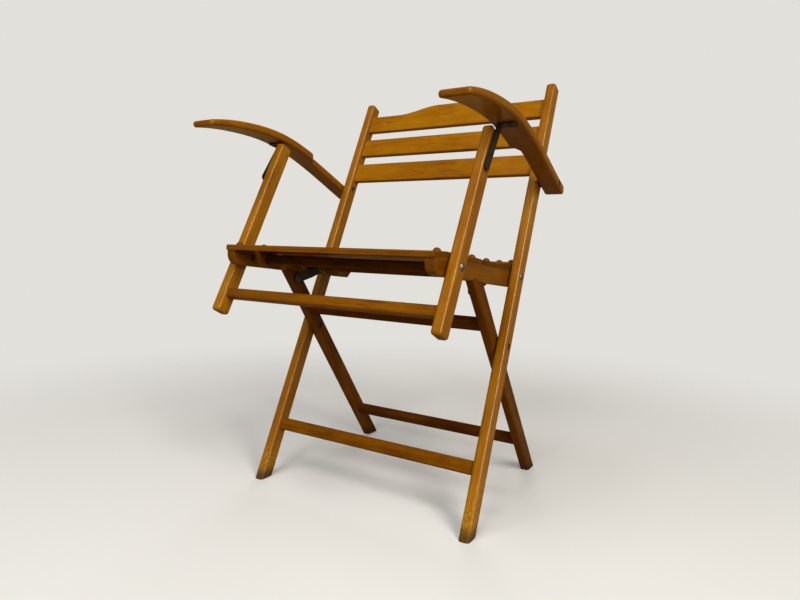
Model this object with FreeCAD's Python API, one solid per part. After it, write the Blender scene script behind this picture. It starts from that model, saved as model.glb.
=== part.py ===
import FreeCAD
import Part
import math
import os

# Folding wooden armchair, in millimetres.
# X runs across the chair, the front faces -Y, Z is up, and the floor is Z = 0.
# Places in the side view are pairs of (Y, Z).

# Height and the long posts
CHAIR_HEIGHT = 850.0
POST_LEAN = 25.0
POST_FOOT_Y = -131.7
POST_WIDTH = 21.0
POST_DEPTH = 31.0
POST_EDGE_RADIUS = 6.5
POST_TOP_RADIUS = 5.0

# Layers across the chair, from the middle outwards
SEAT_HALF_WIDTH = 222.5
RAIL_THICKNESS = 19.0
LAYER_GAP = 2.5
ARM_GAP = 3.0
ARM_NECK_WIDTH = 39.0
ARM_STEP = 16.0

# Pivots
LEG_PIVOT_HEIGHT = 308.5
SEAT_PIVOT_HEIGHT = 438.0
SEAT_PIVOT_FORWARD = 5.5
ARM_PIVOT_BELOW_TOP = 224.0
FRONT_PIVOT_REACH = 265.0
FRONT_PIVOT_RISE = 27.0

# Rear legs
LEG_WIDTH = 19.0
LEG_DEPTH = 32.0
LEG_LEAN = 36.0
LEG_EDGE_RADIUS = 5.0
LEG_TOP_DEPTH = 1.9
LEG_TOP_SLOPE = 18.5
LEG_TOP_STEP = 21.0
LEG_STEP_RUN = 60.0

# Seat rails
RAIL_FRONT_REACH = 313.0
RAIL_REAR_REACH = 59.0
RAIL_TOP_RISE = 16.0
SEAT_HOLLOW = 26.5
HOLLOW_LENGTH = 320.0
RAIL_BOTTOM_DROP = 20.5
RAIL_BOTTOM_SLOPE = 6.45
RAIL_NOSE_RADIUS = 22.0
RAIL_REAR_CHAMFER = 12.0
RAIL_EDGE_RADIUS = 2.0
RAIL_CURVE_STEPS = 16

# Cross rails between the seat rails: how far their front faces lie ahead of the seat pivot
FRONT_CROSS_FORWARD = 229.0
REAR_CROSS_FORWARD = 40.0
CROSS_BELOW_TOP = 5.5
CROSS_HEIGHT = 18.2
CROSS_THICKNESS = 18.0
CROSS_RADIUS = 3.0

# Seat slats and plugs
SLAT_COUNT = 6
SLAT_PITCH = 64.5
SLAT_WIDTH = 49.0
SLAT_THICKNESS = 10.0
SLAT_FRONT_REACH = 315.0
SLAT_TOP_RADIUS = 3.0
PLUG_RADIUS = 7.0
PLUG_HEIGHT = 5.5
PLUG_STEM_RADIUS = 4.0
PLUG_STEM_LENGTH = 6.0

# Back slats, whose lower edges are measured down the long posts from the top
SLAT_BACK_THICKNESS = 12.0
CREST_BELOW_TOP = 79.0
CREST_END_HEIGHT = 45.5
CREST_MIDDLE_HEIGHT = 63.5
CREST_FLAT_HALF = 38.0
CREST_SHOULDER_HALF = 148.0
MIDDLE_SLAT_BELOW_TOP = 149.5
MIDDLE_SLAT_HEIGHT = 47.0
LOWER_SLAT_BELOW_TOP = 221.5
LOWER_SLAT_HEIGHT = 48.5
BACK_SLAT_RADIUS = 3.0

# Stretchers
STRETCHER_RADIUS = 4.5
FOOT_STRETCHER_ALONG = 114.0
FOOT_STRETCHER_HEIGHT = 25.0
FOOT_STRETCHER_THICKNESS = 18.0
LEG_STRETCHER_HEIGHT = 25.0
LEG_STRETCHER_THICKNESS = 17.0
LEG_STRETCHER_FORWARD = 3.5
UPPER_STRETCHER_SHARE = 0.36
LOWER_STRETCHER_BELOW = 279.0
ARM_STRETCHER_BELOW = 78.0
ARM_STRETCHER_HEIGHT = 19.5
ARM_STRETCHER_THICKNESS = 18.0
TENON_LENGTH = 12.0
TENON_SHOULDER = 4.0
TENON_THICKNESS = 9.0
JOINT_CLEARANCE = 0.1

# Arm posts
ARM_POST_WIDTH = 20.0
ARM_POST_DEPTH = 31.0
ARM_POST_LEAN = 27.6
ARM_POST_BELOW = 118.0
ARM_POST_ABOVE_HINGE = 52.5
ARM_POST_EDGE_RADIUS = 6.0
ARM_POST_END_RADIUS = 6.0

# Armrests: the top's reach forward and rise from the rear arm pivot, and the thickness there
ARM_CURVE = (
    (435.0, 94.0, 11.5),
    (392.0, 101.2, 13.4),
    (332.0, 105.0, 15.2),
    (242.0, 99.0, 16.5),
    (142.0, 70.0, 17.4),
    (42.0, 28.0, 18.4),
)
ARM_REAR_THICKNESS = 18.8
ARM_END_REACH = 30.0
ARM_END_SLOPE = 23.0
ARM_STEP_REACH = 144.0
ARM_STEP_RUN = 17.0
ARM_STEP_CORNER = 9.0
ARM_STEP_HOLLOW = 14.0
ARM_OUTER_CORNER = 9.0
ARM_INNER_CORNER = 9.0
ARM_REAR_CORNER = 9.0
ARM_EDGE_RADIUS = 5.0

# Steel brackets of the armrests
STEEL_THICKNESS = 3.0
BRACKET_GAP = 2.0
BRACKET_WIDTH = 15.0
BRACKET_TAIL = 28.0
BRACKET_FLANGE_REACH = 32.0
BRACKET_FLANGE_WIDTH = 18.0
BRACKET_FLANGE_BEHIND_HINGE = 35.0
FLANGE_CORNER_RADIUS = 3.0

# Steel links between the rear legs and the rails
LINK_GAP = 0.3
LINK_HALF_WIDTH = 10.0
LINK_BELOW_LEG_TOP = 20.0
LINK_RAIL_REACH = 62.0
LINK_RAIL_DROP = 1.0
LINK_BEND_SHARE = 0.58
LINK_BEND_RISE = -1.5

# Bolts, nuts, washers and screws
BOLT_RADIUS = 3.0
FIT_CLEARANCE = 0.05
SIDE_CLEARANCE = 0.2
DOME_RADIUS = 7.0
DOME_HEIGHT = 4.0
LOW_DOME_HEIGHT = 2.0
SUNK_HEAD_RADIUS = 5.5
SUNK_HEAD_HEIGHT = 4.0
SUNK_HEAD_CHAMFER = 0.6
SUNK_SOCKET_RADIUS = 2.5
SUNK_SOCKET_DEPTH = 2.5
RECESS_RADIUS = 6.5
RECESS_DEPTH = 9.0
NUT_RADIUS = 5.6
NUT_HEIGHT = 4.5
WASHER_RADIUS = 8.0
SCREW_RADIUS = 1.8
SCREW_LENGTH = 10.0
HINGE_SCREW_LENGTH = 14.0
SCREW_HEAD_RADIUS = 4.2
SCREW_HEAD_HEIGHT = 2.2
SCREW_SLOT_WIDTH = 1.0
SCREW_SLOT_DEPTH = 0.9
FLANGE_SCREW_IN = 12.0

# Sizes and places that follow from the ones above
RAIL_OUT = SEAT_HALF_WIDTH
RAIL_IN = RAIL_OUT - RAIL_THICKNESS
LEG_OUT = SEAT_HALF_WIDTH
LEG_IN = LEG_OUT - LEG_WIDTH
POST_IN = SEAT_HALF_WIDTH + LAYER_GAP
POST_OUT = POST_IN + POST_WIDTH
ARM_POST_IN = SEAT_HALF_WIDTH + LAYER_GAP
ARM_POST_OUT = ARM_POST_IN + ARM_POST_WIDTH
NECK_IN = POST_OUT + ARM_GAP
ARM_OUT = NECK_IN + ARM_NECK_WIDTH
ARM_IN = NECK_IN - ARM_STEP
BRACKET_IN = ARM_POST_OUT + BRACKET_GAP
BRACKET_OUT = BRACKET_IN + STEEL_THICKNESS
HOLE_RADIUS = BOLT_RADIUS + FIT_CLEARANCE
SPARE = 1.0
FAR = 2000.0
NOTCH_REACH = 200.0
BELOW_FLOOR = 100.0
CLOSE = 0.01
ARM_PLAN_MARGIN = 40.0


def vector(x, place):
    return FreeCAD.Vector(x, place[0], place[1])


def moved(place, forward, rise):
    return (place[0] - forward, place[1] + rise)


def along(place, lean, distance):
    # A positive lean tips the top towards the rear.
    angle = math.radians(lean)
    return (place[0] + distance * math.sin(angle), place[1] + distance * math.cos(angle))


def post_place(height):
    return (POST_FOOT_Y + height * math.tan(math.radians(POST_LEAN)), height)


LEG_PIVOT = post_place(LEG_PIVOT_HEIGHT)
SEAT_PIVOT = moved(post_place(SEAT_PIVOT_HEIGHT), SEAT_PIVOT_FORWARD, 0.0)
ARM_PIVOT = post_place(CHAIR_HEIGHT - ARM_PIVOT_BELOW_TOP)
FRONT_PIVOT = moved(SEAT_PIVOT, FRONT_PIVOT_REACH, FRONT_PIVOT_RISE)
# The four arm pivots form a parallelogram, so the arm posts keep their lean.
ARM_SIDE = (ARM_PIVOT[0] - SEAT_PIVOT[0], ARM_PIVOT[1] - SEAT_PIVOT[1])
HINGE_PIVOT = (FRONT_PIVOT[0] + ARM_SIDE[0], FRONT_PIVOT[1] + ARM_SIDE[1])
LEG_FOOT = (LEG_PIVOT[0] + LEG_PIVOT_HEIGHT * math.tan(math.radians(LEG_LEAN)), 0.0)
LEG_FOOT_LENGTH = LEG_PIVOT_HEIGHT / math.cos(math.radians(LEG_LEAN))


def rail_bottom(y):
    rise = (SEAT_PIVOT[0] - y) * math.tan(math.radians(RAIL_BOTTOM_SLOPE))
    return SEAT_PIVOT[1] - RAIL_BOTTOM_DROP + rise


def leg_top_reach():
    # From the leg pivot up the leg's middle to the rail's lower edge, and a little into the rail.
    angle = math.radians(LEG_LEAN)
    slope = math.tan(math.radians(RAIL_BOTTOM_SLOPE))
    height = rail_bottom(LEG_PIVOT[0]) - LEG_PIVOT[1]
    return height / (math.cos(angle) - math.sin(angle) * slope) + LEG_TOP_DEPTH


LINK_LEG_PIVOT = along(LEG_PIVOT, -LEG_LEAN, leg_top_reach() - LINK_BELOW_LEG_TOP)
LINK_RAIL_PIVOT = moved(SEAT_PIVOT, LINK_RAIL_REACH, -LINK_RAIL_DROP)


def mirrored(shape):
    return shape.mirror(FreeCAD.Vector(0, 0, 0), FreeCAD.Vector(1, 0, 0))


def grouped(shapes):
    return Part.makeCompound(shapes)


def in_leaning_frame(shape, origin, lean):
    # Turns an upright shape about X and puts its Z = 0 at the origin's place.
    return placed(shape, origin, -lean)


def placed(shape, origin, turn):
    # Turns a shape about X by degrees, then moves its origin to a place in the side view.
    rotation = FreeCAD.Rotation(FreeCAD.Vector(1, 0, 0), turn)
    shape.Placement = FreeCAD.Placement(vector(0, origin), rotation).multiply(shape.Placement)
    return shape


def centred_box(x_from, x_to, y_middle, depth, z_from, z_to):
    corner = FreeCAD.Vector(x_from, y_middle - depth / 2, z_from)
    return Part.makeBox(x_to - x_from, depth, z_to - z_from, corner)


def cylinder_across(place, radius, x_from, x_to):
    return Part.makeCylinder(radius, x_to - x_from, vector(x_from, place), FreeCAD.Vector(1, 0, 0))


def side_prism(edges, x_from, x_to):
    # Edges of a closed outline in the plane X = 0 become a solid between the two X.
    face = Part.Face(Part.Wire(Part.__sortEdges__(edges)))
    solid = face.extrude(FreeCAD.Vector(x_to - x_from, 0, 0))
    solid.translate(FreeCAD.Vector(x_from, 0, 0))
    return solid


def polygon_edges(places):
    edges = []
    for index, place in enumerate(places):
        following = places[(index + 1) % len(places)]
        edges.append(Part.makeLine(vector(0, place), vector(0, following)))
    return edges


def edges_where(solid, test):
    found = []
    for edge in solid.Edges:
        start = edge.valueAt(edge.FirstParameter)
        end = edge.valueAt(edge.LastParameter)
        if test(start, end):
            found.append(edge)
    return found


def upright(start, end):
    flat = math.hypot(start.x - end.x, start.y - end.y)
    return flat < CLOSE and abs(start.z - end.z) > CLOSE


def upright_at(x, y):
    def test(start, end):
        return upright(start, end) and abs(start.x - x) < CLOSE and abs(start.y - y) < CLOSE
    return test


def at_level(level):
    def test(start, end):
        return abs(start.z - level) < CLOSE and abs(end.z - level) < CLOSE
    return test


def rounded_bar(x_from, x_to, depth, z_from, z_to, edge_radius, end_radius):
    bar = centred_box(x_from, x_to, 0.0, depth, z_from, z_to)
    bar = bar.makeFillet(edge_radius, edges_where(bar, upright))
    for level in (z_from, z_to):
        if level in end_radius:
            bar = bar.makeFillet(end_radius[level], edges_where(bar, at_level(level)))
    return bar


def below_floor():
    return Part.makeBox(2 * FAR, 2 * FAR, FAR, FreeCAD.Vector(-FAR, -FAR, -FAR))


def tenoned_board(length_half, height, thickness, z_from, radius):
    # A board across the chair whose tenons reach past its shoulders on both sides.
    board = centred_box(-length_half, length_half, 0.0, thickness, z_from, z_from + height)
    board = board.makeFillet(radius, edges_where(board, lambda start, end: abs(start.x - end.x) > 1.0))
    return board.fuse(tenons(length_half, height, z_from, 0.0))


def tenons(length_half, height, z_from, clearance):
    reach = length_half + TENON_LENGTH + clearance
    low = z_from + TENON_SHOULDER - clearance
    high = z_from + height - TENON_SHOULDER + clearance
    thickness = TENON_THICKNESS + 2 * clearance
    right = centred_box(length_half - SPARE, reach, 0.0, thickness, low, high)
    left = centred_box(-reach, -length_half + SPARE, 0.0, thickness, low, high)
    return right.fuse(left)


# Pivot hardware on the right side

def domed_head(place, x_face, height):
    # A cap of a ball on the outer face of a layer.
    ball_radius = (DOME_RADIUS ** 2 + height ** 2) / (2 * height)
    ball = Part.makeSphere(ball_radius, vector(x_face + height - ball_radius, place))
    return ball.common(cylinder_across(place, DOME_RADIUS, x_face, x_face + height + SPARE))


def domed_bolt(place, x_face, x_end, height):
    head = domed_head(place, x_face + SIDE_CLEARANCE, height)
    shank = cylinder_across(place, BOLT_RADIUS, x_end, x_face + SIDE_CLEARANCE + SPARE)
    return head.fuse(shank)


def sunk_bolt(place, x_face, x_end):
    x_seat = x_face - RECESS_DEPTH + SIDE_CLEARANCE
    x_top = x_seat + SUNK_HEAD_HEIGHT
    head = cylinder_across(place, SUNK_HEAD_RADIUS, x_seat, x_top)
    head = head.makeChamfer(SUNK_HEAD_CHAMFER, [head.Edges[0]])
    shank = cylinder_across(place, BOLT_RADIUS, x_end, x_seat + SPARE)
    socket = hexagon_across(place, SUNK_SOCKET_RADIUS, x_top - SUNK_SOCKET_DEPTH, x_top + SPARE)
    return head.fuse(shank).cut(socket)


def hexagon_across(place, radius, x_from, x_to):
    corners = [along(place, 60 * step, radius) for step in range(6)]
    return side_prism(polygon_edges(corners), x_from, x_to)


def sunk_nut(place, x_face):
    x_seat = x_face + RECESS_DEPTH - SIDE_CLEARANCE
    nut = hexagon_across(place, NUT_RADIUS, x_seat - NUT_HEIGHT, x_seat)
    return nut.cut(cylinder_across(place, HOLE_RADIUS, x_face, x_seat + SPARE))


def nut_end(x_face):
    return x_face + RECESS_DEPTH - SIDE_CLEARANCE - NUT_HEIGHT


def washer(place, x_from, gap):
    ring = cylinder_across(place, WASHER_RADIUS, x_from + SIDE_CLEARANCE, x_from + gap - SIDE_CLEARANCE)
    return ring.cut(cylinder_across(place, HOLE_RADIUS, x_from, x_from + gap))


def bore(place):
    return cylinder_across(place, HOLE_RADIUS, -FAR, FAR)


def recess_outside(place, x_face):
    return cylinder_across(place, RECESS_RADIUS, x_face - RECESS_DEPTH, x_face + SPARE)


def recess_inside(place, x_face):
    return cylinder_across(place, RECESS_RADIUS, x_face - SPARE, x_face + RECESS_DEPTH)


def pair(shape):
    return [shape, mirrored(shape)]


# Back frame

def post_length():
    # The rounded upper corner is the highest place of the leaning post.
    angle = math.radians(POST_LEAN)
    corner = POST_DEPTH / 2 - POST_TOP_RADIUS
    return (CHAIR_HEIGHT - POST_TOP_RADIUS - corner * math.sin(angle)) / math.cos(angle) + POST_TOP_RADIUS


def long_post():
    top = post_length()
    ends = {top: POST_TOP_RADIUS}
    post = rounded_bar(POST_IN, POST_OUT, POST_DEPTH, -BELOW_FLOOR, top, POST_EDGE_RADIUS, ends)
    for bottom, height in back_levels():
        post = post.cut(tenons(POST_IN, height, bottom, JOINT_CLEARANCE))
    post = in_leaning_frame(post, (POST_FOOT_Y, 0.0), POST_LEAN)
    post = post.cut(below_floor())
    post = post.cut(bore(LEG_PIVOT)).cut(recess_outside(LEG_PIVOT, POST_OUT))
    post = post.cut(bore(SEAT_PIVOT))
    return post.cut(bore(ARM_PIVOT)).cut(recess_inside(ARM_PIVOT, POST_IN))


def back_levels():
    # Lower edges along the long posts and the heights at the ends, from the crest down.
    top = post_length()
    return (
        (top - CREST_BELOW_TOP, CREST_END_HEIGHT),
        (top - MIDDLE_SLAT_BELOW_TOP, MIDDLE_SLAT_HEIGHT),
        (top - LOWER_SLAT_BELOW_TOP, LOWER_SLAT_HEIGHT),
        (FOOT_STRETCHER_ALONG - FOOT_STRETCHER_HEIGHT / 2, FOOT_STRETCHER_HEIGHT),
    )


def back_crest():
    # The top edge is level at the ends, swings up in an S and is level again in the middle.
    bottom, end_height = back_levels()[0]
    low = bottom + end_height
    high = bottom + CREST_MIDDLE_HEIGHT
    across = FreeCAD.Vector(1, 0, 0)
    right_s = Part.BSplineCurve()
    middle = (CREST_SHOULDER_HALF + CREST_FLAT_HALF) / 2
    right_places = [(CREST_FLAT_HALF, high), (middle, (low + high) / 2), (CREST_SHOULDER_HALF, low)]
    right_points = [FreeCAD.Vector(x, 0, z) for x, z in right_places]
    right_s.interpolate(Points=right_points, InitialTangent=across, FinalTangent=across)
    right_edge = right_s.toShape()
    corners = [
        FreeCAD.Vector(CREST_SHOULDER_HALF, 0, low),
        FreeCAD.Vector(POST_IN, 0, low),
        FreeCAD.Vector(POST_IN, 0, bottom),
        FreeCAD.Vector(-POST_IN, 0, bottom),
        FreeCAD.Vector(-POST_IN, 0, low),
        FreeCAD.Vector(-CREST_SHOULDER_HALF, 0, low),
    ]
    edges = [right_edge, mirrored(right_edge)]
    for start, end in zip(corners, corners[1:]):
        edges.append(Part.makeLine(start, end))
    flat_start = FreeCAD.Vector(-CREST_FLAT_HALF, 0, high)
    edges.append(Part.makeLine(flat_start, FreeCAD.Vector(CREST_FLAT_HALF, 0, high)))
    face = Part.Face(Part.Wire(Part.__sortEdges__(edges)))
    board = face.extrude(FreeCAD.Vector(0, SLAT_BACK_THICKNESS, 0))
    board.translate(FreeCAD.Vector(0, -SLAT_BACK_THICKNESS / 2, 0))
    long_edges = edges_where(board, lambda start, end: abs(start.x - end.x) > 1.0)
    board = board.makeFillet(BACK_SLAT_RADIUS, long_edges)
    board = board.fuse(tenons(POST_IN, end_height, bottom, 0.0))
    return in_leaning_frame(board, (POST_FOOT_Y, 0.0), POST_LEAN)


def back_board(level, thickness, radius):
    bottom, height = level
    board = tenoned_board(POST_IN, height, thickness, bottom, radius)
    return in_leaning_frame(board, (POST_FOOT_Y, 0.0), POST_LEAN)


# Rear legs

def leg_stretcher_levels():
    # The upper one lies part of the way from the leg pivot to the leg's top.
    return (
        LEG_FOOT_LENGTH + UPPER_STRETCHER_SHARE * leg_top_reach() - LEG_STRETCHER_HEIGHT / 2,
        LEG_FOOT_LENGTH - LOWER_STRETCHER_BELOW - LEG_STRETCHER_HEIGHT / 2,
    )


def leg_stretcher(level):
    board = tenoned_board(LEG_IN, LEG_STRETCHER_HEIGHT, LEG_STRETCHER_THICKNESS, level, STRETCHER_RADIUS)
    board.translate(FreeCAD.Vector(0, -LEG_STRETCHER_FORWARD, 0))
    return in_leaning_frame(board, LEG_FOOT, -LEG_LEAN)


def notch_places():
    # The leg's top: a slope that drops to the rear, and a step in front of it.
    peak = along(LEG_PIVOT, -LEG_LEAN, leg_top_reach())
    slope = math.tan(math.radians(LEG_TOP_SLOPE))
    front = (peak[0] - LEG_TOP_STEP, peak[1] + LEG_TOP_STEP * slope)
    rear = (peak[0] + NOTCH_REACH, peak[1] - NOTCH_REACH * slope)
    return front, rear


def notch_solid():
    front, rear = notch_places()
    low_rear = (rear[0], rear[1] - NOTCH_REACH)
    low_front = (front[0] - LEG_STEP_RUN, front[1] - NOTCH_REACH)
    return side_prism(polygon_edges([front, rear, low_rear, low_front]), -FAR, FAR)


def space_of_rail():
    # Everything above the rail's lower edge, apart from the notch.
    y_front = SEAT_PIVOT[0] - FAR / 2
    y_rear = SEAT_PIVOT[0] + FAR / 2
    places = [(y_front, rail_bottom(y_front)), (y_rear, rail_bottom(y_rear)), (y_rear, FAR), (y_front, FAR)]
    space = side_prism(polygon_edges(places), -FAR, FAR).cut(notch_solid())
    return space


def rear_leg():
    length = LEG_FOOT_LENGTH + leg_top_reach() + LEG_DEPTH
    leg = rounded_bar(LEG_IN, LEG_OUT, LEG_DEPTH, -BELOW_FLOOR, length, LEG_EDGE_RADIUS, {})
    for level in leg_stretcher_levels():
        mortise = tenons(LEG_IN, LEG_STRETCHER_HEIGHT, level, JOINT_CLEARANCE)
        mortise.translate(FreeCAD.Vector(0, -LEG_STRETCHER_FORWARD, 0))
        leg = leg.cut(mortise)
    leg = in_leaning_frame(leg, LEG_FOOT, -LEG_LEAN)
    leg = leg.cut(below_floor())
    space = space_of_rail()
    space.translate(FreeCAD.Vector(0, 0, -LINK_GAP))
    leg = leg.cut(space)
    leg = leg.cut(bore(LEG_PIVOT)).cut(recess_inside(LEG_PIVOT, LEG_IN))
    return leg.cut(cylinder_across(LINK_LEG_PIVOT, HOLE_RADIUS, LEG_IN - SPARE, LEG_IN + SCREW_LENGTH))


# Seat

def rail_rise(forward):
    share = min(max(forward / HOLLOW_LENGTH, 0.0), 1.0)
    return RAIL_TOP_RISE + SEAT_HOLLOW * (1 - math.cos(math.pi * share)) / 2


def rail_top_place(forward):
    return moved(SEAT_PIVOT, forward, rail_rise(forward))


def slat_middles():
    first = SLAT_FRONT_REACH - SLAT_WIDTH / 2
    return [first - SLAT_PITCH * index for index in range(SLAT_COUNT)]


def slat_seat(forward):
    # The slat lies on the chord of the hollow below it.
    front = rail_top_place(forward + SLAT_WIDTH / 2)
    rear = rail_top_place(forward - SLAT_WIDTH / 2)
    tilt = math.degrees(math.atan2(rear[1] - front[1], rear[0] - front[0]))
    middle = ((front[0] + rear[0]) / 2, (front[1] + rear[1]) / 2)
    return middle, tilt


def on_slat(shape, forward):
    middle, tilt = slat_seat(forward)
    return placed(shape, middle, tilt)


def slat_block(forward):
    block = centred_box(-RAIL_OUT - SPARE, RAIL_OUT + SPARE, 0.0, SLAT_WIDTH, 0.0, SLAT_THICKNESS)
    return on_slat(block, forward)


def seat_slat(forward):
    slat = centred_box(-RAIL_OUT, RAIL_OUT, 0.0, SLAT_WIDTH, 0.0, SLAT_THICKNESS)
    slat = slat.makeFillet(SLAT_TOP_RADIUS, edges_where(slat, at_level(SLAT_THICKNESS)))
    for x in plug_places():
        slat = slat.cut(plug_stem(x, FIT_CLEARANCE))
    return on_slat(slat, forward)


def plug_places():
    middle = (RAIL_IN + RAIL_OUT) / 2
    return (middle, -middle)


def plug_stem(x, clearance):
    low = SLAT_THICKNESS - PLUG_STEM_LENGTH - clearance
    length = SLAT_THICKNESS - low + SPARE
    return Part.makeCylinder(PLUG_STEM_RADIUS + clearance, length, FreeCAD.Vector(x, 0, low))


def slat_plug(x, forward):
    ball_radius = (PLUG_RADIUS ** 2 + PLUG_HEIGHT ** 2) / (2 * PLUG_HEIGHT)
    ball = Part.makeSphere(ball_radius, FreeCAD.Vector(x, 0, SLAT_THICKNESS + PLUG_HEIGHT - ball_radius))
    trunk = Part.makeCylinder(PLUG_RADIUS, PLUG_HEIGHT + SPARE, FreeCAD.Vector(x, 0, SLAT_THICKNESS))
    return on_slat(ball.common(trunk).fuse(plug_stem(x, 0.0)), forward)


def slat_plugs():
    plugs = []
    for forward in slat_middles():
        for x in plug_places():
            plugs.append(slat_plug(x, forward))
    return grouped(plugs)


def rail_outline():
    reach = RAIL_FRONT_REACH + RAIL_REAR_REACH
    points = []
    for step in range(RAIL_CURVE_STEPS + 1):
        forward = RAIL_FRONT_REACH - reach * step / RAIL_CURVE_STEPS
        points.append(vector(0, rail_top_place(forward)))
    top = Part.BSplineCurve()
    top.interpolate(points)
    y_front = SEAT_PIVOT[0] - RAIL_FRONT_REACH
    y_rear = SEAT_PIVOT[0] + RAIL_REAR_REACH
    chamfer_start = (y_rear, rail_bottom(y_rear) + RAIL_REAR_CHAMFER)
    chamfer_end = (y_rear - RAIL_REAR_CHAMFER, rail_bottom(y_rear - RAIL_REAR_CHAMFER))
    nose = (y_front, rail_bottom(y_front))
    rear_top = rail_top_place(-RAIL_REAR_REACH)
    places = [rear_top, chamfer_start, chamfer_end, nose, rail_top_place(RAIL_FRONT_REACH)]
    edges = [top.toShape()]
    for start, end in zip(places, places[1:]):
        edges.append(Part.makeLine(vector(0, start), vector(0, end)))
    return edges, nose


def on_rail_top(point):
    return abs(point.z - rail_top_place(SEAT_PIVOT[0] - point.y)[1]) < CLOSE


def below_rail_top(start, end):
    # An edge of a side face that isn't the curved top, which the slats cover.
    return abs(start.x - end.x) < CLOSE and not (on_rail_top(start) and on_rail_top(end))


def seat_rail():
    edges, nose = rail_outline()
    rail = side_prism(edges, RAIL_IN, RAIL_OUT)

    def at_nose(start, end):
        near = abs(start.y - nose[0]) < CLOSE and abs(start.z - nose[1]) < CLOSE
        return near and abs(end.y - nose[0]) < CLOSE and abs(end.z - nose[1]) < CLOSE

    rail = rail.makeFillet(RAIL_NOSE_RADIUS, edges_where(rail, at_nose))
    rail = rail.makeFillet(RAIL_EDGE_RADIUS, edges_where(rail, below_rail_top))
    rail = rail.cut(notch_solid())
    for forward in (FRONT_CROSS_FORWARD, REAR_CROSS_FORWARD):
        rail = rail.cut(cross_rail_frame(tenons(RAIL_IN, CROSS_HEIGHT, 0.0, JOINT_CLEARANCE), forward))
    for forward in slat_middles():
        rail = rail.cut(slat_block(forward))
    rail = rail.cut(bore(SEAT_PIVOT)).cut(recess_inside(SEAT_PIVOT, RAIL_IN))
    rail = rail.cut(bore(FRONT_PIVOT)).cut(recess_inside(FRONT_PIVOT, RAIL_IN))
    return rail


def cross_rail_frame(shape, forward):
    # The lower edge of a cross rail, level, at the middle of its thickness.
    middle = forward - CROSS_THICKNESS / 2
    bottom = rail_rise(middle) - CROSS_BELOW_TOP - CROSS_HEIGHT
    return placed(shape, moved(SEAT_PIVOT, middle, bottom), 0.0)


def seat_cross_rail(forward):
    board = tenoned_board(RAIL_IN, CROSS_HEIGHT, CROSS_THICKNESS, 0.0, CROSS_RADIUS)
    return cross_rail_frame(board, forward)


# Arm posts

def arm_post_frame(shape):
    return in_leaning_frame(shape, FRONT_PIVOT, ARM_POST_LEAN)


def hinge_height():
    angle = math.radians(ARM_POST_LEAN)
    across = (HINGE_PIVOT[0] - FRONT_PIVOT[0]) * math.sin(angle)
    return across + (HINGE_PIVOT[1] - FRONT_PIVOT[1]) * math.cos(angle)


def arm_stretcher_bottom():
    return -ARM_STRETCHER_BELOW - ARM_STRETCHER_HEIGHT / 2


def arm_post():
    low = -ARM_POST_BELOW
    high = hinge_height() + ARM_POST_ABOVE_HINGE
    ends = {low: ARM_POST_END_RADIUS, high: ARM_POST_END_RADIUS}
    post = rounded_bar(ARM_POST_IN, ARM_POST_OUT, ARM_POST_DEPTH, low, high, ARM_POST_EDGE_RADIUS, ends)
    post = post.cut(tenons(ARM_POST_IN, ARM_STRETCHER_HEIGHT, arm_stretcher_bottom(), JOINT_CLEARANCE))
    post = arm_post_frame(post)
    post = post.cut(bore(FRONT_PIVOT))
    x_end = ARM_POST_OUT - HINGE_SCREW_LENGTH - SPARE
    return post.cut(cylinder_across(HINGE_PIVOT, HOLE_RADIUS, x_end, ARM_POST_OUT + SPARE))


def arm_stretcher():
    height = ARM_STRETCHER_HEIGHT
    thickness = ARM_STRETCHER_THICKNESS
    board = tenoned_board(ARM_POST_IN, height, thickness, arm_stretcher_bottom(), STRETCHER_RADIUS)
    return arm_post_frame(board)


# Armrests

def arm_top_places():
    return [moved(ARM_PIVOT, reach, rise) for reach, rise, thickness in ARM_CURVE]


def arm_under_places():
    return [moved(ARM_PIVOT, reach, rise - thickness) for reach, rise, thickness in ARM_CURVE]


def arm_end():
    # Middle of the round rear end, its radius and its two tangent places.
    radius = ARM_REAR_THICKNESS / 2
    angle = math.radians(ARM_END_SLOPE)
    last_reach, last_rise, last_thickness = ARM_CURVE[-1]
    top_rise = last_rise - (last_reach + ARM_END_REACH) * math.tan(angle)
    top = moved(ARM_PIVOT, -ARM_END_REACH, top_rise)
    middle = (top[0] - radius * math.sin(angle), top[1] - radius * math.cos(angle))
    bottom = (middle[0] - radius * math.sin(angle), middle[1] - radius * math.cos(angle))
    tip = (middle[0] + radius * math.cos(angle), middle[1] - radius * math.sin(angle))
    return top, tip, bottom


def spline_edge(places):
    curve = Part.BSplineCurve()
    curve.interpolate([vector(0, place) for place in places])
    return curve.toShape()


def arm_profile():
    top, tip, bottom = arm_end()
    upper = arm_top_places()
    lower = arm_under_places()
    edges = [spline_edge(upper + [top]), spline_edge(lower + [bottom])]
    edges.append(Part.Arc(vector(0, top), vector(0, tip), vector(0, bottom)).toShape())
    edges.append(Part.makeLine(vector(0, upper[0]), vector(0, lower[0])))
    return edges


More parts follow.
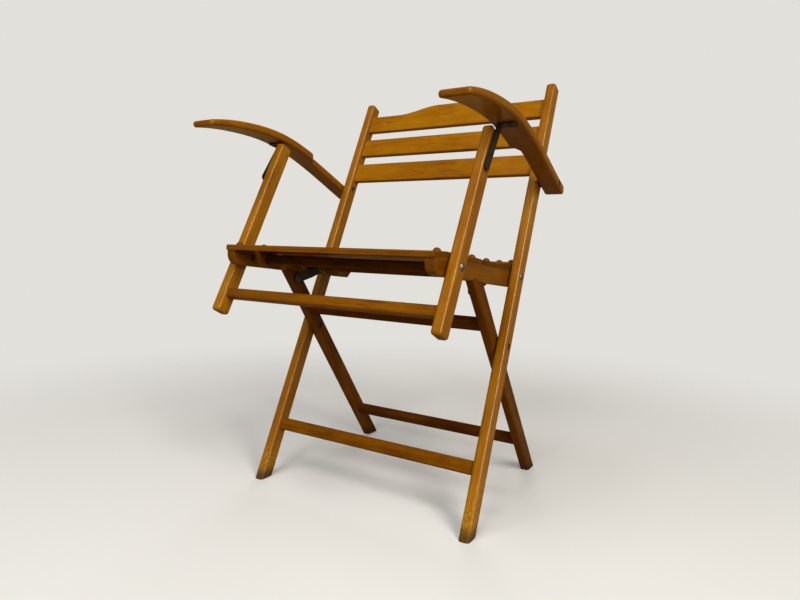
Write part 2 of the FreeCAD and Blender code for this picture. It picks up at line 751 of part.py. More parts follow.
def arm_plan():
    # The armrest seen from above, with a step in its inner side ahead of the long post.
    y_front = arm_top_places()[0][0]
    y_step = ARM_PIVOT[0] - ARM_STEP_REACH
    y_rear = arm_end()[1][0]
    corners = {
        (ARM_IN, y_front): ARM_INNER_CORNER,
        (ARM_OUT, y_front): ARM_OUTER_CORNER,
        (ARM_OUT, y_rear): ARM_REAR_CORNER,
        (NECK_IN, y_rear): ARM_REAR_CORNER,
        (NECK_IN, y_step + ARM_STEP_RUN): ARM_STEP_HOLLOW,
        (ARM_IN, y_step): ARM_STEP_CORNER,
    }
    points = [FreeCAD.Vector(x, y, 0) for x, y in corners]
    face = Part.Face(Part.makePolygon(points + [points[0]]))
    low = ARM_PIVOT[1] - ARM_PLAN_MARGIN
    prism = face.extrude(FreeCAD.Vector(0, 0, ARM_CURVE[0][1] + 2 * ARM_PLAN_MARGIN))
    prism.translate(FreeCAD.Vector(0, 0, low))
    for (x, y), radius in corners.items():
        prism = prism.makeFillet(radius, edges_where(prism, upright_at(x, y)))
    return prism


def armrest():
    arm = side_prism(arm_profile(), ARM_IN, ARM_OUT)
    arm = arm.common(arm_plan())
    arm = arm.makeFillet(ARM_EDGE_RADIUS, arm_long_edges(arm))
    arm = arm.cut(bore(ARM_PIVOT)).cut(recess_outside(ARM_PIVOT, ARM_OUT))
    return arm.cut(flange_screw_hole())


def arm_long_edges(arm):
    # The edges where the top and the underside meet the sides and the ends.
    def level_edge(start, end):
        return not upright(start, end)
    return edges_where(arm, level_edge)


# Brackets

def flange_frame(shape):
    # The flange lies against the armrest's underside at its own slope.
    near, far = flange_ends()
    tilt = math.degrees(math.atan2(far[1] - near[1], far[0] - near[0]))
    return placed(shape, near, tilt)


def flange_ends():
    curve = Part.BSplineCurve()
    curve.interpolate([vector(0, place) for place in arm_under_places() + [arm_end()[2]]])
    ends = []
    for side in (1, -1):
        y = HINGE_PIVOT[0] + BRACKET_FLANGE_BEHIND_HINGE - side * BRACKET_FLANGE_WIDTH / 2
        plane = Part.Plane(FreeCAD.Vector(0, y, 0), FreeCAD.Vector(0, 1, 0))
        point = curve.intersect(plane)[0][0]
        ends.append((point.Y, point.Z))
    return ends


def flange_width():
    near, far = flange_ends()
    return math.hypot(far[0] - near[0], far[1] - near[1])


def bracket_top():
    near, far = flange_ends()
    return ((near[0] + far[0]) / 2, (near[1] + far[1]) / 2)


def strap_solid():
    top = bracket_top()
    lean = math.degrees(math.atan2(top[0] - HINGE_PIVOT[0], top[1] - HINGE_PIVOT[1]))
    length = math.hypot(top[0] - HINGE_PIVOT[0], top[1] - HINGE_PIVOT[1])
    high = length + BRACKET_WIDTH
    strap = centred_box(BRACKET_IN, BRACKET_OUT, 0.0, BRACKET_WIDTH, -BRACKET_TAIL, high)
    round_end = cylinder_across((0.0, -BRACKET_TAIL), BRACKET_WIDTH / 2, BRACKET_IN, BRACKET_OUT)
    strap = strap.fuse(round_end)
    return in_leaning_frame(strap, HINGE_PIVOT, lean)


def arm_bracket():
    above = Part.makeBox(FAR, FAR, FAR, FreeCAD.Vector(-FAR / 2, -FAR / 2, 0))
    strap = strap_solid().cut(flange_frame(above))
    corner = FreeCAD.Vector(BRACKET_IN, 0, -STEEL_THICKNESS)
    flange = Part.makeBox(BRACKET_FLANGE_REACH, flange_width(), STEEL_THICKNESS, corner)

    def far_corner(start, end):
        return upright(start, end) and start.x > BRACKET_OUT

    flange = flange.makeFillet(FLANGE_CORNER_RADIUS, edges_where(flange, far_corner))
    bracket = strap.fuse(flange_frame(flange)).removeSplitter()
    bracket = bracket.cut(bore(HINGE_PIVOT))
    return bracket.cut(flange_screw_hole())


def flange_screw_shape(shape):
    x = BRACKET_IN + BRACKET_FLANGE_REACH - FLANGE_SCREW_IN
    shape.translate(FreeCAD.Vector(x, flange_width() / 2, 0))
    return flange_frame(shape)


def flange_screw_hole():
    low = -STEEL_THICKNESS - SPARE
    length = SCREW_LENGTH + SPARE - low
    hole = Part.makeCylinder(SCREW_RADIUS + FIT_CLEARANCE, length, FreeCAD.Vector(0, 0, low))
    return flange_screw_shape(hole)


def flange_screw():
    seat = -STEEL_THICKNESS - SIDE_CLEARANCE / 2
    shank = Part.makeCylinder(SCREW_RADIUS, SCREW_LENGTH - seat, FreeCAD.Vector(0, 0, seat - SPARE))
    head = screw_head()
    head.translate(FreeCAD.Vector(0, 0, seat))
    return flange_screw_shape(head.fuse(shank))


def screw_head():
    # A domed head that hangs below Z = 0, with a slot.
    ball_radius = (SCREW_HEAD_RADIUS ** 2 + SCREW_HEAD_HEIGHT ** 2) / (2 * SCREW_HEAD_HEIGHT)
    ball = Part.makeSphere(ball_radius, FreeCAD.Vector(0, 0, ball_radius - SCREW_HEAD_HEIGHT))
    low = -SCREW_HEAD_HEIGHT - SPARE
    trunk = Part.makeCylinder(SCREW_HEAD_RADIUS, SCREW_HEAD_HEIGHT + SPARE, FreeCAD.Vector(0, 0, low))
    slot_top = SCREW_SLOT_DEPTH - SCREW_HEAD_HEIGHT
    slot = centred_box(-SCREW_HEAD_RADIUS, SCREW_HEAD_RADIUS, 0.0, SCREW_SLOT_WIDTH, low, slot_top)
    return ball.common(trunk).cut(slot)


# Links

def link_outline():
    start = LINK_LEG_PIVOT
    end = LINK_RAIL_PIVOT
    bend = (
        start[0] + (end[0] - start[0]) * LINK_BEND_SHARE,
        start[1] + (end[1] - start[1]) * LINK_BEND_SHARE + LINK_BEND_RISE,
    )
    return start, bend, end


def strip_between(start, end, x_from, x_to):
    lean = math.degrees(math.atan2(end[0] - start[0], end[1] - start[1]))
    length = math.hypot(end[0] - start[0], end[1] - start[1])
    strip = centred_box(x_from, x_to, 0.0, 2 * LINK_HALF_WIDTH, 0.0, length)
    strip = in_leaning_frame(strip, start, lean)
    for place in (start, end):
        strip = strip.fuse(cylinder_across(place, LINK_HALF_WIDTH, x_from, x_to))
    return strip


def leg_link():
    x_to = RAIL_IN - LINK_GAP
    x_from = x_to - STEEL_THICKNESS
    start, bend, end = link_outline()
    link = strip_between(start, bend, x_from, x_to).fuse(strip_between(bend, end, x_from, x_to))
    return link.removeSplitter().cut(bore(start)).cut(bore(end))


def link_rivet():
    # The rivet fills the link's rear hole and has its head on the inner side.
    x_to = RAIL_IN - LINK_GAP
    x_from = x_to - STEEL_THICKNESS
    head = mirrored(domed_head(LINK_RAIL_PIVOT, SIDE_CLEARANCE / 2, LOW_DOME_HEIGHT))
    head.translate(FreeCAD.Vector(x_from, 0, 0))
    shank = cylinder_across(LINK_RAIL_PIVOT, BOLT_RADIUS, x_from - SPARE, x_to)
    return head.fuse(shank)


def link_screw():
    x_from = RAIL_IN - LINK_GAP - STEEL_THICKNESS
    head = mirrored(domed_head(LINK_LEG_PIVOT, SIDE_CLEARANCE / 2, LOW_DOME_HEIGHT))
    head.translate(FreeCAD.Vector(x_from, 0, 0))
    tip = LEG_IN + SCREW_LENGTH - SPARE
    shank = cylinder_across(LINK_LEG_PIVOT, BOLT_RADIUS, x_from - SPARE, tip)
    return head.fuse(shank)


# Groups of like fasteners

def hinge_screw_end():
    return ARM_POST_OUT - HINGE_SCREW_LENGTH


def pivot_bolts():
    return {
        "seat_pivot_bolts": domed_bolt(SEAT_PIVOT, POST_OUT, nut_end(RAIL_IN), DOME_HEIGHT),
        "front_pivot_bolts": domed_bolt(FRONT_PIVOT, ARM_POST_OUT, nut_end(RAIL_IN), DOME_HEIGHT),
        "leg_pivot_bolts": sunk_bolt(LEG_PIVOT, POST_OUT, nut_end(LEG_IN)),
        "arm_pivot_bolts": sunk_bolt(ARM_PIVOT, ARM_OUT, nut_end(POST_IN)),
        "hinge_screws": domed_bolt(HINGE_PIVOT, BRACKET_OUT, hinge_screw_end(), LOW_DOME_HEIGHT),
        "seat_pivot_nuts": sunk_nut(SEAT_PIVOT, RAIL_IN),
        "front_pivot_nuts": sunk_nut(FRONT_PIVOT, RAIL_IN),
        "leg_pivot_nuts": sunk_nut(LEG_PIVOT, LEG_IN),
        "arm_pivot_nuts": sunk_nut(ARM_PIVOT, POST_IN),
        "seat_pivot_washers": washer(SEAT_PIVOT, RAIL_OUT, LAYER_GAP),
        "front_pivot_washers": washer(FRONT_PIVOT, RAIL_OUT, LAYER_GAP),
        "leg_pivot_washers": washer(LEG_PIVOT, LEG_OUT, LAYER_GAP),
        "arm_pivot_washers": washer(ARM_PIVOT, POST_OUT, ARM_GAP),
        "hinge_washers": washer(HINGE_PIVOT, ARM_POST_OUT, BRACKET_GAP),
        "link_screws": link_screw(),
    }


def sided_pieces():
    return {
        "long_post": long_post(),
        "rear_leg": rear_leg(),
        "seat_rail": seat_rail(),
        "arm_post": arm_post(),
        "armrest": armrest(),
        "arm_bracket": arm_bracket(),
        "bracket_screw": flange_screw(),
        "leg_link": leg_link(),
        "link_rivet": link_rivet(),
    }


def cross_pieces():
    upper_level, lower_level = leg_stretcher_levels()
    crest, middle, lower, foot = back_levels()
    return {
        "back_crest": back_crest(),
        "back_slat_middle": back_board(middle, SLAT_BACK_THICKNESS, BACK_SLAT_RADIUS),
        "back_slat_lower": back_board(lower, SLAT_BACK_THICKNESS, BACK_SLAT_RADIUS),
        "foot_stretcher": back_board(foot, FOOT_STRETCHER_THICKNESS, STRETCHER_RADIUS),
        "seat_cross_front": seat_cross_rail(FRONT_CROSS_FORWARD),
        "seat_cross_rear": seat_cross_rail(REAR_CROSS_FORWARD),
        "leg_stretcher_upper": leg_stretcher(upper_level),
        "leg_stretcher_lower": leg_stretcher(lower_level),
        "arm_stretcher": arm_stretcher(),
        "slat_plugs": slat_plugs(),
    }


def save(name, shape):
    shape.exportStep("parts/" + name + ".step")


def build():
    os.makedirs("parts", exist_ok=True)
    for name, shape in sided_pieces().items():
        save(name + "_right", shape)
        save(name + "_left", mirrored(shape))
    for name, shape in cross_pieces().items():
        save(name, shape)
    for name, shape in pivot_bolts().items():
        save(name, grouped(pair(shape)))
    for index, forward in enumerate(slat_middles()):
        save("seat_slat_" + str(index + 1), seat_slat(forward))


build()
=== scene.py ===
import math
import random

import bpy
from mathutils import Matrix, Vector

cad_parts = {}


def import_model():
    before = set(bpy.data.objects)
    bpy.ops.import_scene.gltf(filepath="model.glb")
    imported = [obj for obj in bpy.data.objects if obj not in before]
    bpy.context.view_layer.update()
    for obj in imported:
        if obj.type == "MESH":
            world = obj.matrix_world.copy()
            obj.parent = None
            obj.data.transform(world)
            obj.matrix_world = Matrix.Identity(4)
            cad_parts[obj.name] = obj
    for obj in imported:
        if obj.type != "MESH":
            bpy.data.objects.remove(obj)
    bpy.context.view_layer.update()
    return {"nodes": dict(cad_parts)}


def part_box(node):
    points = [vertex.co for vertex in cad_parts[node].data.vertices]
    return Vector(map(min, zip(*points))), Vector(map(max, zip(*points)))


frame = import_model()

# Lengths are in metres, colours are linear red, green, blue and opacity

# How far each wooden member leans from upright, in degrees, as its grain runs
POST_LEAN = 25.0
LEG_LEAN = -36.0
ARM_POST_LEAN = 27.6
ARMREST_LEAN = -74.0
RAIL_LEAN = -84.0

# Distance from a member to the middle of the tree it was sawn from
PITH_DISTANCE = 0.075
RING_WIDTH = 0.0034

# The stain of the wood, from the palest places to the darkest
PALE_STAIN = (0.420, 0.180, 0.0020, 1.0)
MIDDLE_STAIN = (0.262, 0.088, 0.0010, 1.0)
DARK_STAIN = (0.062, 0.0135, 0.0008, 1.0)
BASE_DARKNESS = -0.37
MIDDLE_DARKNESS = 0.45

# What lies over the stain
FLECK_COLOUR = (0.070, 0.019, 0.0015, 1.0)
ARRIS_COLOUR = (0.060, 0.016, 0.001, 1.0)
END_GRAIN_COLOUR = (0.085, 0.024, 0.003, 1.0)
BARE_WOOD_COLOUR = (0.46, 0.270, 0.030, 1.0)
DIRT_COLOUR = (0.030, 0.021, 0.011, 1.0)
GRIME_COLOUR = (0.075, 0.026, 0.002, 1.0)
KNOCK_COLOUR = (0.050, 0.018, 0.005, 1.0)

# Heights above the floor between which the feet are scuffed bare, and dirty
SCUFFED_FROM, SCUFFED_UP_TO = 0.01, 0.11
DIRTY_FROM, DIRTY_UP_TO = 0.006, 0.030

# Widths of the dark arrises of the wood and of the scuffed edges of the steel
ARRIS_WIDTH = 0.0020
STEEL_EDGE_WIDTH = 0.0012

# The lacquer has turned amber and tints what shines through it
LACQUER_TINT = (1.0, 0.58, 0.10, 1.0)
LACQUER_ROUGHNESS = 0.22
SHINE_UNDER_LACQUER = 0.04
ROUGHNESS_UNDER_LACQUER = 0.24

# The colours of the studio, and the dim warm ones that the lacquer mirrors
BACKGROUND = (0.76, 0.745, 0.71, 1.0)
FLOOR_COLOUR = (0.86, 0.85, 0.82, 1.0)
SOFT_LIGHT = (0.157, 0.162, 0.170, 1.0)
MIRRORED_ROOM = (0.30, 0.21, 0.08, 1.0)
MIRRORED_FLOOR = (0.36, 0.25, 0.13, 1.0)

# The floor is a disc of this radius, and fades into the background between these distances
FLOOR_REACH = 7.0
FLOOR_RINGS = 24
FLOOR_SIDES = 96
FADE_START = 0.45
FADE_END = 1.8
FLOOR_ROUGHNESS = 0.65

# The camera: its place, the way it is turned in radians, and its lens in pixels of the photograph
CAMERA_PLACE = (0.63728, -1.03121, 0.50651)
YAW = 0.5443
PITCH = 0.0563
ROLL = 0.0197
PHOTO_WIDTH = 800.0
FOCAL_LENGTH = 590.22
MIDDLE_SHIFT_X = -0.5
MIDDLE_SHIFT_Y = -27.6
SENSOR_WIDTH_MM = 36.0


# Building blocks for materials

def add(tree, kind, inputs=None, **settings):
    """A new node with these settings, whose inputs hold these values or are fed by these outputs."""
    made = tree.nodes.new(kind)
    for name, value in settings.items():
        setattr(made, name, value)
    for name, value in (inputs or {}).items():
        if isinstance(value, bpy.types.NodeSocket):
            tree.links.new(value, made.inputs[name])
        else:
            made.inputs[name].default_value = value
    return made


def calculate(tree, operation, *values):
    return add(tree, "ShaderNodeMath", dict(enumerate(values)), operation=operation).outputs[0]


def calculate_vector(tree, operation, *values):
    made = add(tree, "ShaderNodeVectorMath", dict(enumerate(values)), operation=operation)
    return made.outputs["Value" if operation in ("LENGTH", "DOT_PRODUCT") else "Vector"]


def times(tree, first, second):
    return calculate(tree, "MULTIPLY", first, second)


def weighed_sum(tree, start, *parts):
    """The start value plus each pattern times its share."""
    total = start
    for pattern, share in parts:
        total = calculate(tree, "MULTIPLY_ADD", pattern, share, total)
    return total


def noise(tree, vector, stretch, detail=2.0, roughness=0.5, output=0):
    """Cloudy noise whose grains are as many to the metre along each axis as stretch says."""
    scaled = calculate_vector(tree, "MULTIPLY", vector, stretch)
    inputs = {"Vector": scaled, "Scale": 1.0, "Detail": detail, "Roughness": roughness}
    return add(tree, "ShaderNodeTexNoise", inputs).outputs[output]


def ramp(tree, value, first, last, start=0.0, end=1.0):
    """Runs smoothly from start to end while value goes from first to last."""
    limits = {"Value": value, "From Min": first, "From Max": last, "To Min": start, "To Max": end}
    return add(tree, "ShaderNodeMapRange", limits, interpolation_type="SMOOTHSTEP").outputs[0]


def blend(tree, share, first, second):
    """The first colour, with this share of the second laid over it."""
    return add(tree, "ShaderNodeMix", {0: share, 6: first, 7: second}, data_type="RGBA").outputs[2]


def lay_over(tree, colour, mask, share, over):
    """The colour, with this share of another laid over it where the mask is 1."""
    return blend(tree, times(tree, mask, share), colour, over)


def edges_of(tree, radius):
    """1 on sharp corners and 0 on the flats: the wood is drawn darker there, and the steel's paint is
    worn there.
    """
    rounded = add(tree, "ShaderNodeBevel", {"Radius": radius}, samples=4).outputs[0]
    plain = add(tree, "ShaderNodeNewGeometry").outputs["Normal"]
    likeness = calculate_vector(tree, "DOT_PRODUCT", rounded, plain)
    return ramp(tree, likeness, 0.90, 0.995, start=1.0, end=0.0)


def new_material(name):
    """A new material, with its node tree and its main shader."""
    material = bpy.data.materials.new(name)
    material.use_nodes = True
    return material, material.node_tree, material.node_tree.nodes["Principled BSDF"]


# Lacquered wood

def growth_rings(group, grain):
    """1 on the dark late wood of each ring. The rings bend a little along the member."""
    bend = noise(group, grain, (8.0, 8.0, 1.5), output="Color")
    bend = calculate_vector(group, "SUBTRACT", bend, (0.5, 0.5, 0.5))
    bend = calculate_vector(group, "MULTIPLY", bend, (0.016, 0.016, 0.0))
    bent = calculate_vector(group, "ADD", grain, bend)
    across = calculate_vector(group, "MULTIPLY", bent, (1.0, 1.0, 0.0))
    ring = calculate(group, "DIVIDE", calculate_vector(group, "LENGTH", across), RING_WIDTH)
    ring = calculate(group, "FRACT", ring)
    return times(group, ramp(group, ring, 0.25, 0.95), ramp(group, ring, 1.0, 0.93))


def stain_and_shade_colour(group, darkness):
    """The colour of the wood where it is this dark: its stain, with the painted shade that each member's
    depth adds.
    """
    shades = add(group, "ShaderNodeValToRGB", {0: darkness})
    first, last = shades.color_ramp.elements
    first.position, first.color = 0.0, PALE_STAIN
    last.position, last.color = 1.0, DARK_STAIN
    shades.color_ramp.elements.new(MIDDLE_DARKNESS).color = MIDDLE_STAIN
    return shades.outputs[0]


def knocks(group, grain):
    """1 on the small knocks in the lacquer."""
    cells = add(group, "ShaderNodeTexVoronoi", {"Vector": grain, "Scale": 30.0})
    chance = add(group, "ShaderNodeSeparateColor", {0: cells.outputs["Color"]}).outputs[0]
    near_middle = ramp(group, cells.outputs["Distance"], 0.075, 0.03)
    return times(group, near_middle, ramp(group, chance, 0.62, 0.64))


def wood_group():
    """The wood of every member: its grain, stain, wear and dirt, and the painted shade that its depth
    adds.
    """
    group = bpy.data.node_groups.new("lacquered_wood", "ShaderNodeTree")
    for name, kind in (("Grain", "Vector"), ("End", "Float"), ("Height", "Float"), ("Depth", "Float")):
        group.interface.new_socket(name, in_out="INPUT", socket_type="NodeSocket" + kind)
    for name, kind in (("Colour", "Color"), ("Roughness", "Float"), ("Normal", "Vector")):
        group.interface.new_socket(name, in_out="OUTPUT", socket_type="NodeSocket" + kind)
    given = group.nodes.new("NodeGroupInput").outputs
    grain = given["Grain"]

    # Fibres, vessels and the slow drift of the stain
    late_wood = growth_rings(group, grain)
    fibres = noise(group, grain, (620.0, 620.0, 9.0), detail=3.0, roughness=0.6)
    vessels = noise(group, grain, (1300.0, 1300.0, 75.0), detail=1.0)
    flecks = ramp(group, vessels, 0.60, 0.74)
    drift = noise(group, grain, (11.0, 11.0, 3.0), detail=3.0)
    smudges = noise(group, grain, (38.0, 38.0, 17.0), detail=4.0, roughness=0.6)
    darkness = weighed_sum(group, BASE_DARKNESS,
                           (late_wood, 0.10), (fibres, 0.30), (drift, 0.70), (smudges, 0.54))
    # Each member's depth darkens it: partly its own tone, and partly painted shade on the members that
    # sit in shadow under the seat or low down
    colour = stain_and_shade_colour(group, calculate(group, "ADD", darkness, given["Depth"]))
    colour = lay_over(group, colour, flecks, 0.30, FLECK_COLOUR)

    # Dark arrises and end grain
    patchy = ramp(group, smudges, 0.38, 0.62, start=0.30)
    arris = times(group, edges_of(group, ARRIS_WIDTH), patchy)
    colour = lay_over(group, colour, arris, 0.68, ARRIS_COLOUR)
    end = ramp(group, given["End"], 0.80, 0.97)
    colour = lay_over(group, colour, end, 0.52, END_GRAIN_COLOUR)

    # Grubby feet, with specks of bare wood on the paler members
    scuffs = noise(group, grain, (400.0, 400.0, 150.0), detail=4.0, roughness=0.65)
    low_down = ramp(group, given["Height"], SCUFFED_UP_TO, SCUFFED_FROM)
    bare = times(group, low_down, ramp(group, scuffs, 0.50, 0.56))
    bare = times(group, bare, ramp(group, given["Depth"], 0.25, 0.10))
    colour = lay_over(group, colour, bare, 0.80, BARE_WOOD_COLOUR)
    near_floor = ramp(group, given["Height"], DIRTY_UP_TO, DIRTY_FROM)
    dirt = times(group, near_floor, ramp(group, scuffs, 0.35, 0.60, start=0.70))
    colour = lay_over(group, colour, dirt, 0.92, DIRT_COLOUR)

    # Grime rubbed into the grain, here and there
    strokes = noise(group, grain, (240.0, 240.0, 24.0), detail=4.0, roughness=0.7)
    places = noise(group, grain, (8.0, 8.0, 5.0))
    grime = times(group, ramp(group, strokes, 0.50, 0.66), ramp(group, places, 0.46, 0.62))
    colour = lay_over(group, colour, grime, 0.65, GRIME_COLOUR)

    knocked = knocks(group, grain)
    colour = lay_over(group, colour, knocked, 0.70, KNOCK_COLOUR)

    roughness = weighed_sum(group, ROUGHNESS_UNDER_LACQUER,
                            (smudges, 0.26), (arris, 0.16), (end, 0.20), (dirt, 0.25))
    height = weighed_sum(group, 0.0, (smudges, 0.9), (fibres, 0.45), (flecks, -0.35), (knocked, -1.5))
    bump = add(group, "ShaderNodeBump", {"Strength": 0.45, "Distance": 0.00025, "Height": height})
    add(group, "NodeGroupOutput", {"Colour": colour, "Roughness": roughness, "Normal": bump.outputs[0]})
    return group


def wood(name, group, node, turn, stain_and_shade_depth, gloss):
    """Wood of one member: turn brings the way its grain runs upright."""
    turned = Matrix.Rotation(turn[0], 3, "X") @ Matrix.Rotation(turn[1], 3, "Y")
    low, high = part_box(node)
    middle = turned @ ((low + high) / 2)

    # Each member is sawn from its own place in a tree
    chance = random.Random(name)
    around = chance.uniform(0.0, 2.0 * math.pi)
    away = PITH_DISTANCE * chance.uniform(0.5, 1.3)
    sawn = Vector((away * math.cos(around), away * math.sin(around), chance.uniform(-9.0, 9.0)))

    material, tree, shader = new_material(name)
    place = add(tree, "ShaderNodeTexCoord").outputs
    grain = add(tree, "ShaderNodeMapping", {"Vector": place["Object"], "Location": sawn - middle,
                                            "Rotation": (turn[0], turn[1], 0.0)})
    facing = calculate_vector(tree, "DOT_PRODUCT", place["Normal"], tuple(turned[2]))
    height = add(tree, "ShaderNodeSeparateXYZ", {0: place["Object"]}).outputs["Z"]
    looks = add(tree, "ShaderNodeGroup", node_tree=group)
    tree.links.new(grain.outputs[0], looks.inputs["Grain"])
    tree.links.new(calculate(tree, "ABSOLUTE", facing), looks.inputs["End"])
    tree.links.new(height, looks.inputs["Height"])
    # The depth is partly the member's own tone and partly painted shade, with a little random tone on
    # top
    looks.inputs["Depth"].default_value = stain_and_shade_depth + chance.uniform(-0.05, 0.05)

    for source, target in (("Colour", "Base Color"), ("Roughness", "Roughness"), ("Normal", "Normal")):
        tree.links.new(looks.outputs[source], shader.inputs[target])
    shader.inputs["Specular IOR Level"].default_value = SHINE_UNDER_LACQUER
    shader.inputs["Specular Tint"].default_value = LACQUER_TINT
    shader.inputs["Coat Weight"].default_value = gloss
    shader.inputs["Coat Roughness"].default_value = LACQUER_ROUGHNESS
    return material


# Steel

def steel(name, base, worn_colour, metal, roughness, wear_share):
    """Painted or plated steel, scuffed along its edges and dulled by fingermarks."""
    material, tree, shader = new_material(name)
    place = add(tree, "ShaderNodeTexCoord").outputs["Object"]
    scuffs = noise(tree, place, (420.0, 420.0, 420.0), detail=5.0, roughness=0.65)
    marks = noise(tree, place, (95.0, 95.0, 95.0), detail=3.0)
    brushed = noise(tree, place, (3200.0, 240.0, 240.0))

    scuffed = times(tree, edges_of(tree, STEEL_EDGE_WIDTH), ramp(tree, scuffs, 0.42, 0.58))
    chipped = calculate(tree, "MAXIMUM", scuffed, ramp(tree, scuffs, 0.66, 0.72, end=0.7))
    chipped = times(tree, chipped, wear_share)
    darkened = [0.55 * channel for channel in base[:3]] + [1.0]
    colour = blend(tree, ramp(tree, marks, 0.40, 0.70, end=0.55), base, darkened)
    colour = blend(tree, chipped, colour, worn_colour)

    roughness = weighed_sum(tree, roughness, (marks, 0.25), (brushed, 0.12))
    metallic = calculate(tree, "MAXIMUM", chipped, metal)
    height = weighed_sum(tree, brushed, (scuffs, 0.6))
    bump = add(tree, "ShaderNodeBump", {"Strength": 0.35, "Distance": 0.0001, "Height": height})
    for source, target in ((colour, "Base Color"), (roughness, "Roughness"), (metallic, "Metallic"),
                           (bump.outputs[0], "Normal")):
        tree.links.new(source, shader.inputs[target])
    return material


# Every solid gets the material of the piece it is

def lean_turn(lean):
    """The turns about X and Y that bring the grain of a leaning member upright."""
    return (math.radians(lean), 0.0)


ACROSS = (0.0, math.radians(-90.0))
UPRIGHT = (0.0, 0.0)

# Each kind of member: how its grain runs, how much darker it is, and how glossy; the darkness is partly
# the wood's own tone and partly painted shade, deepest on the members under the seat and near the floor
WOODEN = (
    ("long_post", lean_turn(POST_LEAN), -0.12, 0.80),
    ("rear_leg", lean_turn(LEG_LEAN), 0.42, 0.20),
    ("seat_rail", lean_turn(RAIL_LEAN), 0.16, 0.35),
    ("arm_post", lean_turn(ARM_POST_LEAN), -0.10, 0.66),
    ("armrest", lean_turn(ARMREST_LEAN), 0.05, 0.40),
    ("back_", ACROSS, -0.06, 0.30),
    ("foot_stretcher", ACROSS, 0.26, 0.18),
    ("leg_stretcher", ACROSS, 0.54, 0.10),
    ("arm_stretcher", ACROSS, 0.22, 0.34),
    ("seat_cross", ACROSS, 0.40, 0.06),
    ("seat_slat", ACROSS, 0.32, 0.35),
    ("slat_plugs", UPRIGHT, 0.30, 0.16),
)

# The steel pieces, by their whole names or by how these start or end
BRIGHT = ("seat_pivot_bolts", "front_pivot_bolts")
BLACKENED = ("arm_bracket", "leg_link", "bracket_screw", "hinge_screws")
TARNISHED = ("link_rivet", "link_screws", "bolts", "nuts", "washers")


def dress_solids():
    group = wood_group()
    black = steel("black_steel", base=(0.008, 0.007, 0.006, 1.0), worn_colour=(0.12, 0.105, 0.085, 1.0),
                  metal=0.0, roughness=0.32, wear_share=0.25)
    dark = steel("dark_steel", base=(0.11, 0.095, 0.075, 1.0), worn_colour=(0.40, 0.36, 0.31, 1.0),
                 metal=1.0, roughness=0.38, wear_share=0.6)
    bright = steel("bright_steel", base=(0.22, 0.205, 0.18, 1.0), worn_colour=(0.55, 0.52, 0.47, 1.0),
                   metal=1.0, roughness=0.30, wear_share=0.7)
    for node, solid in frame["nodes"].items():
        if node in BRIGHT:
            made = bright
        elif node.startswith(BLACKENED):
            made = black
        elif node.startswith(TARNISHED) or node.endswith(TARNISHED):
            made = dark
        else:
            kind = next(row for row in WOODEN if node.startswith(row[0]))
            made = wood("wood_" + node, group, node, *kind[1:])
        for slot in solid.material_slots:
            slot.material = made


# The pale studio

def show(name, data):
    """A new object with this data, in the scene."""
    made = bpy.data.objects.new(name, data)
    bpy.context.scene.collection.objects.link(made)
    return made


def floor_mesh():
    """A disc of rings, finer near the chair."""
    points = [(0.0, 0.0, 0.0)]
    for ring in range(1, FLOOR_RINGS + 1):
        radius = FLOOR_REACH * (ring / FLOOR_RINGS) ** 2
        for side in range(FLOOR_SIDES):
            angle = 2.0 * math.pi * side / FLOOR_SIDES
            points.append((radius * math.cos(angle), radius * math.sin(angle), 0.0))
    faces = [(0, 1 + side, 1 + (side + 1) % FLOOR_SIDES) for side in range(FLOOR_SIDES)]
    for ring in range(FLOOR_RINGS - 1):
        inner = 1 + ring * FLOOR_SIDES
        outer = inner + FLOOR_SIDES
        for side in range(FLOOR_SIDES):
            after = (side + 1) % FLOOR_SIDES
            faces.append((inner + side, outer + side, outer + after, inner + after))
    mesh = bpy.data.meshes.new("floor")
    mesh.from_pydata(points, [], faces)
    return mesh


def floor():
    """The floor, which holds the chair's shadow and fades into the background away from it."""
    mesh = floor_mesh()
    show("floor", mesh)
    material, tree, shader = new_material("floor")
    shader.inputs["Roughness"].default_value = FLOOR_ROUGHNESS
    seen = add(tree, "ShaderNodeLightPath").outputs["Is Camera Ray"]
    tree.links.new(blend(tree, seen, MIRRORED_FLOOR, FLOOR_COLOUR), shader.inputs["Base Color"])
    place = add(tree, "ShaderNodeTexCoord").outputs["Object"]
    away = ramp(tree, calculate_vector(tree, "LENGTH", place), FADE_START, FADE_END)
    clear = add(tree, "ShaderNodeBsdfTransparent")
    faded = add(tree, "ShaderNodeMixShader", {0: away, 1: shader.outputs[0], 2: clear.outputs[0]})
    tree.links.new(faded.outputs[0], tree.nodes["Material Output"].inputs["Surface"])
    mesh.materials.append(material)


def world():
    made = bpy.data.worlds.new("studio")
    bpy.context.scene.world = made
    made.use_nodes = True
    tree = made.node_tree
    path = add(tree, "ShaderNodeLightPath").outputs
    colour = blend(tree, path["Is Glossy Ray"], SOFT_LIGHT, MIRRORED_ROOM)
    colour = blend(tree, path["Is Camera Ray"], colour, BACKGROUND)
    tree.links.new(colour, tree.nodes["Background"].inputs["Color"])


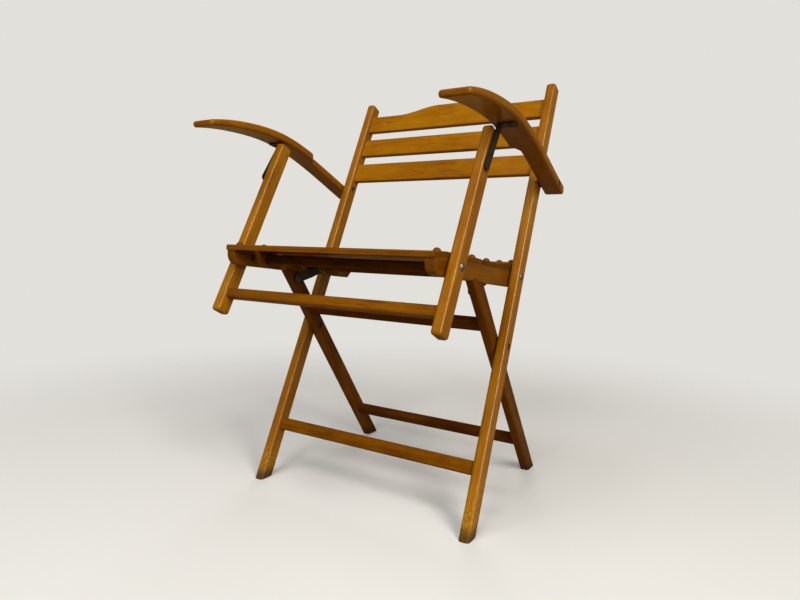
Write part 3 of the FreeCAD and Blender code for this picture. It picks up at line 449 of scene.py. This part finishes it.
def lamp(name, place, target, size, watts, colour, mirrored):
    """A soft lamp, whose image shows in the lacquer only if it is mirrored."""
    light = bpy.data.lights.new(name, "AREA")
    light.shape = "RECTANGLE"
    light.size, light.size_y = size
    light.energy = watts
    light.color = colour
    made = show(name, light)
    made.location = place
    made.rotation_euler = (Vector(target) - Vector(place)).to_track_quat("-Z", "Y").to_euler()
    made.visible_glossy = mirrored


def camera():
    """The place, aim and lens that lay the chair's edges on the photograph's."""
    ahead = Vector((-math.sin(YAW) * math.cos(PITCH), math.cos(YAW) * math.cos(PITCH), -math.sin(PITCH)))
    right = Vector((math.cos(YAW), math.sin(YAW), 0.0))
    up = right.cross(ahead)
    rolled_right = math.cos(ROLL) * right + math.sin(ROLL) * up
    rolled_up = math.cos(ROLL) * up - math.sin(ROLL) * right
    lens = bpy.data.cameras.new("camera")
    lens.sensor_width = SENSOR_WIDTH_MM
    lens.lens = FOCAL_LENGTH / PHOTO_WIDTH * SENSOR_WIDTH_MM
    lens.shift_x = MIDDLE_SHIFT_X / PHOTO_WIDTH
    lens.shift_y = MIDDLE_SHIFT_Y / PHOTO_WIDTH
    made = show("camera", lens)
    aim = Matrix((rolled_right, rolled_up, -ahead)).transposed()
    made.matrix_world = Matrix.Translation(CAMERA_PLACE) @ aim.to_4x4()
    bpy.context.scene.camera = made


dress_solids()
floor()
world()
camera()
lamp("window", place=(2.75, -1.5, 2.35), target=(0.0, 0.0, 0.5), size=(0.75, 3.2), watts=104.0,
     colour=(1.0, 0.95, 0.86), mirrored=True)
lamp("ceiling", place=(-0.6, -1.6, 2.6), target=(-0.1, -0.6, 0.4), size=(1.2, 1.2), watts=21.0,
     colour=(1.0, 0.99, 0.97), mirrored=False)
lamp("room", place=(0.5, -3.9, 2.2), target=(0.0, 0.0, 0.45), size=(1.4, 1.2), watts=70.0,
     colour=(1.0, 1.0, 1.0), mirrored=False)
lamp("behind", place=(-1.2, 2.8, 2.0), target=(0.0, 0.0, 0.4), size=(1.4, 1.2), watts=22.0,
     colour=(1.0, 1.0, 1.0), mirrored=False)
bpy.context.scene.view_settings.view_transform = "Standard"
